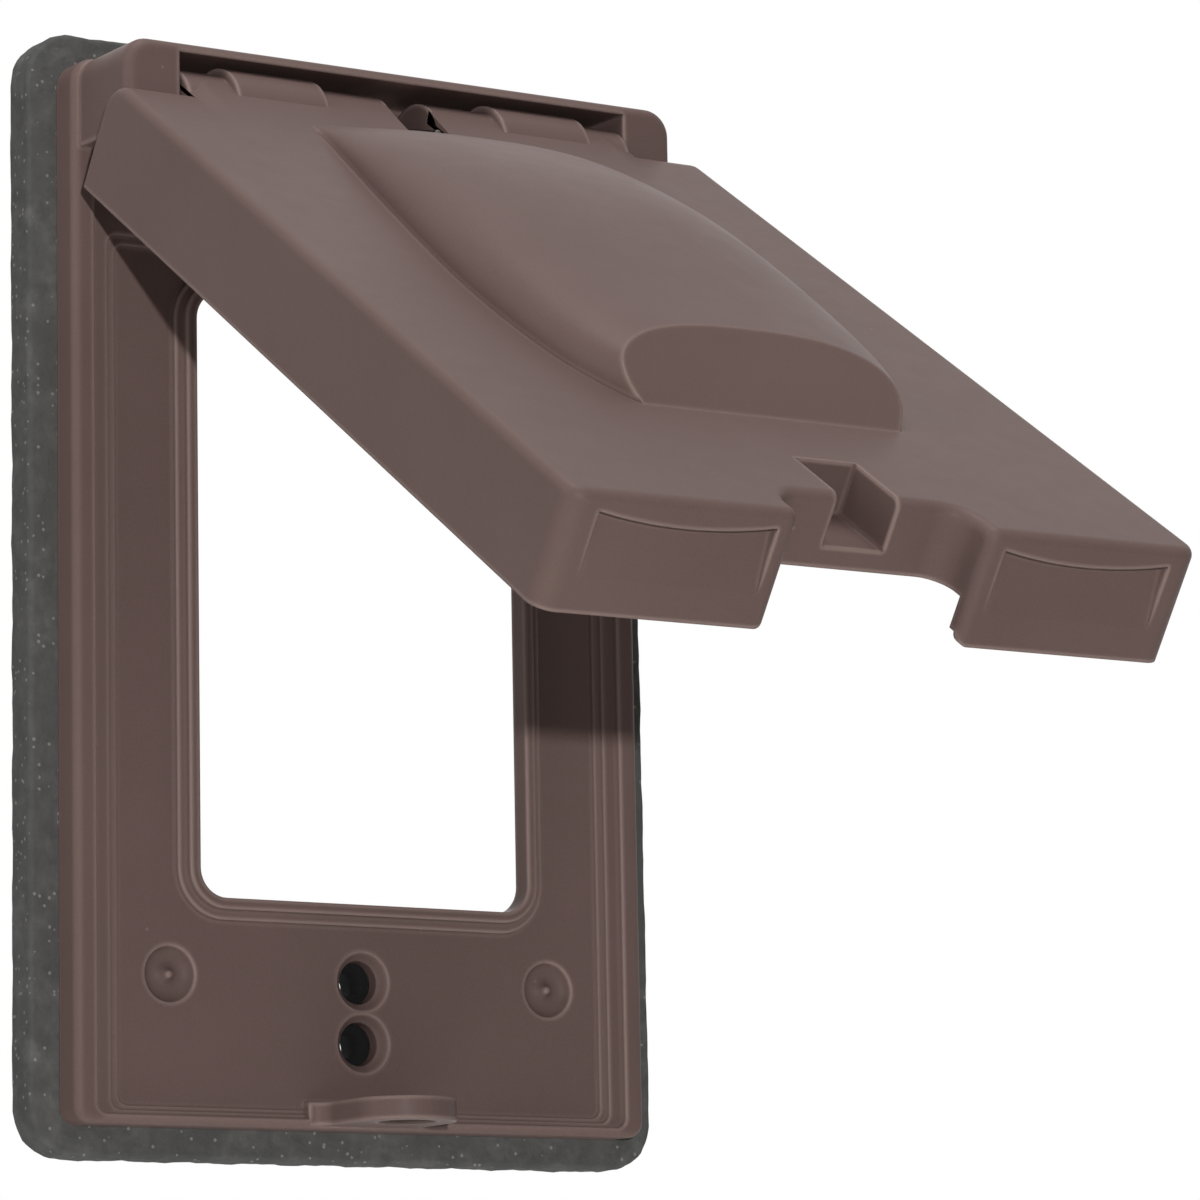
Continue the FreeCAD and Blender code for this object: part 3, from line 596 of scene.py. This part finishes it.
def buildStage():
    half = stageLook["size"] / 2
    corners = np.array([(-half, -half), (half, -half), (half, half), (-half, half)])
    points = np.insert(corners, 2, stageLook["height"], 1)
    floor = newPiece("studioFloor", points, [(0, 1, 2, 3)])
    material, tree, shader = newMaterial("paleFloor")
    feed(tree, shader, {"Base Color": stageLook["colour"], "Roughness": stageLook["roughness"]})
    white = addNode(tree, "ShaderNodeEmission", (0, -300))
    feed(tree, white, {"Color": (1, 1, 1, 1)})
    joinBackground(tree, backgroundRays(tree), shader, white, tree.nodes["Material Output"])
    floor.data.materials.append(material)


worldLook = {"ambient": 0.012, "tone": (1.0, 0.99, 0.98, 1.0)}


def buildWorld():
    world = bpy.data.worlds.new("studioWorld")
    bpy.context.scene.world = world
    world.use_nodes = True
    tree = world.node_tree
    tree.nodes.clear()
    out = addNode(tree, "ShaderNodeOutputWorld", (600, 0))
    soft = addNode(tree, "ShaderNodeBackground", (0, 100))
    feed(tree, soft, {"Color": worldLook["tone"], "Strength": worldLook["ambient"]})
    white = addNode(tree, "ShaderNodeBackground", (0, -100))
    feed(tree, white, {"Color": (1, 1, 1, 1)})
    joinBackground(tree, backgroundRays(tree), soft, white, out)


lamps = {
    "keyLamp": {"azimuth": -27, "elevation": -3.2, "distance": 0.9, "size": 0.02, "watts": 5.2},
    "topLamp": {"azimuth": -6, "elevation": 80, "distance": 0.9, "size": 0.6, "watts": 6.1},
    "leftLamp": {"azimuth": -91, "elevation": 18, "distance": 0.8, "size": 0.5, "watts": 1.8},
    "backLamp": {"azimuth": 158, "elevation": 6, "distance": 1.0, "size": 0.7, "watts": 1.8},
    "lowLamp": {"azimuth": 180, "elevation": -87, "distance": 0.38, "size": 0.16, "watts": 0.25},
}
lampAim = Vector((0.0, -0.04, 0.0))


# The unit vector at an azimuth from the front and an elevation, in degrees.
def towards(azimuth, elevation):
    a, e = math.radians(azimuth), math.radians(elevation)
    return Vector((math.sin(a) * math.cos(e), -math.cos(a) * math.cos(e), math.sin(e)))


def buildLamps():
    for name, setting in lamps.items():
        light = bpy.data.lights.new(name, "AREA")
        light.shape = "DISK"
        light.size = setting["size"]
        light.energy = setting["watts"]
        lamp = bpy.data.objects.new(name, light)
        bpy.context.scene.collection.objects.link(lamp)
        way = towards(setting["azimuth"], setting["elevation"])
        lamp.location = lampAim + way * setting["distance"]
        lamp.rotation_euler = (-way).to_track_quat("-Z", "Y").to_euler()


photoCamera = {
    "azimuth": -33.22, "elevation": -9.38, "roll": -1.08,
    "distance": 0.65452, "target": (0.03379, 0.0, 0.00362),
    "focal": 5728.39, "frame": 1200,   # both in the photo's pixels
    "sensor": 36, "clipStart": 0.01,
}


def buildCamera():
    setting = photoCamera
    back = towards(setting["azimuth"], setting["elevation"])
    right = (-back).cross(Vector((0, 0, 1))).normalized()
    up = right.cross(-back)
    roll = math.radians(setting["roll"])
    turnedRight = right * math.cos(roll) + up * math.sin(roll)
    turnedUp = up * math.cos(roll) - right * math.sin(roll)
    data = bpy.data.cameras.new("photoCamera")
    data.sensor_width = setting["sensor"]
    data.sensor_height = setting["sensor"]
    data.sensor_fit = "HORIZONTAL"
    data.lens = setting["focal"] / setting["frame"] * setting["sensor"]
    data.clip_start = setting["clipStart"]
    camera = bpy.data.objects.new("photoCamera", data)
    bpy.context.scene.collection.objects.link(camera)
    place = Vector(setting["target"]) + back * setting["distance"]
    camera.matrix_world = Matrix((
        (turnedRight.x, turnedUp.x, back.x, place.x),
        (turnedRight.y, turnedUp.y, back.y, place.y),
        (turnedRight.z, turnedUp.z, back.z, place.z),
        (0, 0, 0, 1)))
    bpy.context.scene.camera = camera


buildStage()
buildWorld()
buildLamps()
buildCamera()
bpy.context.scene.view_settings.view_transform = "Standard"
print("stage, lamps and camera set")
